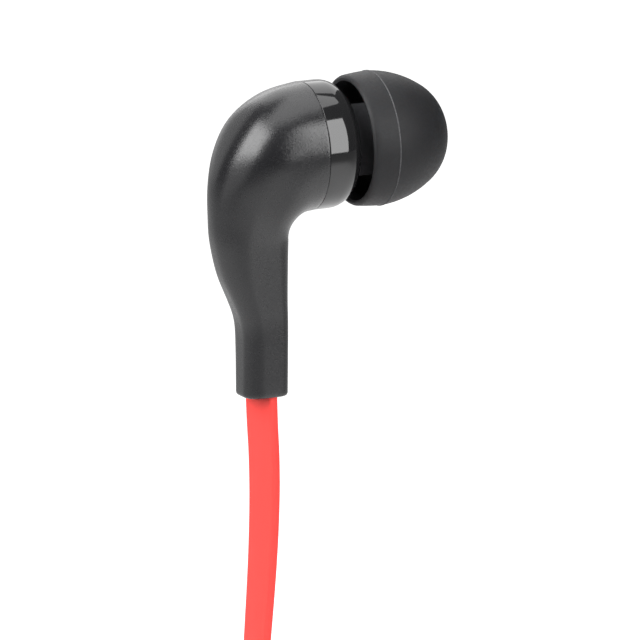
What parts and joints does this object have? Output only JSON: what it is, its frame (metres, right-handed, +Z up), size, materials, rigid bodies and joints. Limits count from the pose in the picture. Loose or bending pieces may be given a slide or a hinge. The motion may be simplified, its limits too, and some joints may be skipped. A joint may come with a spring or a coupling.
{
  "type": "wired earphones",
  "caption": "In-ear earphones with elbow-shaped black housings, dark silicone tips, a flat red cord with splitter, and a straight audio plug.",
  "frame": {"origin": "on the left nozzle's axis, in the plane where the left ear tip is widest", "axes": "+X along the left nozzle towards the ear, +Z up the stem, +Y away from a viewer who looks at the elbow from its side"},
  "size_m": [0.0384, 0.0183, 0.2632],
  "materials": {
    "soft_touch": "soft-touch satin",
    "gloss_black": "polished",
    "silicone": "matte",
    "cord_red": "satin",
    "mesh_steel": "woven",
    "foam": "open cell",
    "film": "translucent film",
    "copper": "enamelled winding",
    "soft_iron": "zinc plated",
    "magnet": "nickel plated",
    "inner_plastic": "moulded",
    "circuit_board": "solder mask",
    "wire_enamel": "enamel",
    "crimp": "pressed",
    "contact": "polished plating",
    "insulator": "moulded",
    "tie_rubber": "matte"
  },
  "bodies": {
    "earphones": {"left_nozzle_screen": "mesh_steel", "left_damping_foam": "foam", "left_front_housing": "gloss_black", "left_surround": "film", "left_top_plate": "soft_iron", "left_magnet": "magnet", "left_yoke": "soft_iron", "left_driver_frame": "inner_plastic", "left_terminal_board": "circuit_board", "left_rear_boot": "soft_touch", "left_cable_anchor": "inner_plastic", "left_lead_wires": "wire_enamel", "right_nozzle_screen": "mesh_steel", "right_damping_foam": "foam", "right_front_housing": "gloss_black", "right_surround": "film", "right_top_plate": "soft_iron", "right_magnet": "magnet", "right_yoke": "soft_iron", "right_driver_frame": "inner_plastic", "right_terminal_board": "circuit_board", "right_rear_boot": "soft_touch", "right_cable_anchor": "inner_plastic", "right_lead_wires": "wire_enamel", "left_branch_cord": "cord_red", "left_branch_hank": "cord_red", "right_branch_hank": "cord_red", "right_branch_cord": "cord_red", "trunk_hank": "cord_red", "trunk_cord": "cord_red", "splitter_front": "soft_touch", "splitter_back": "soft_touch", "splitter_crimp": "crimp", "plug_relief": "soft_touch", "plug_grip": "soft_touch", "plug_sleeve": "contact", "plug_rear_insulator": "insulator", "plug_ring": "contact", "plug_front_insulator": "insulator", "plug_tip": "contact", "tie": "tie_rubber"},
    "left_tip": {"left_ear_tip": "silicone"},
    "left_diaphragm": {"left_dome": "film", "left_voice_coil": "copper"},
    "right_tip": {"right_ear_tip": "silicone"},
    "right_diaphragm": {"right_dome": "film", "right_voice_coil": "copper"}
  },
  "joints": [
    {"name": "left_tip_pull", "type": "slide", "parent": "earphones", "child": "left_tip", "axis": [1, 0, 0], "range_m": [0, 0.007]},
    {"name": "left_coil_travel", "type": "slide", "parent": "earphones", "child": "left_diaphragm", "axis": [1, 0, 0], "range_m": [-0.00015, 0.00015], "stiffness_N_per_m": 50},
    {"name": "right_tip_pull", "type": "slide", "parent": "earphones", "child": "right_tip", "axis": [1, 0, 0], "range_m": [0, 0.007]},
    {"name": "right_coil_travel", "type": "slide", "parent": "earphones", "child": "right_diaphragm", "axis": [1, 0, 0], "range_m": [-0.00015, 0.00015], "stiffness_N_per_m": 50}
  ]
}
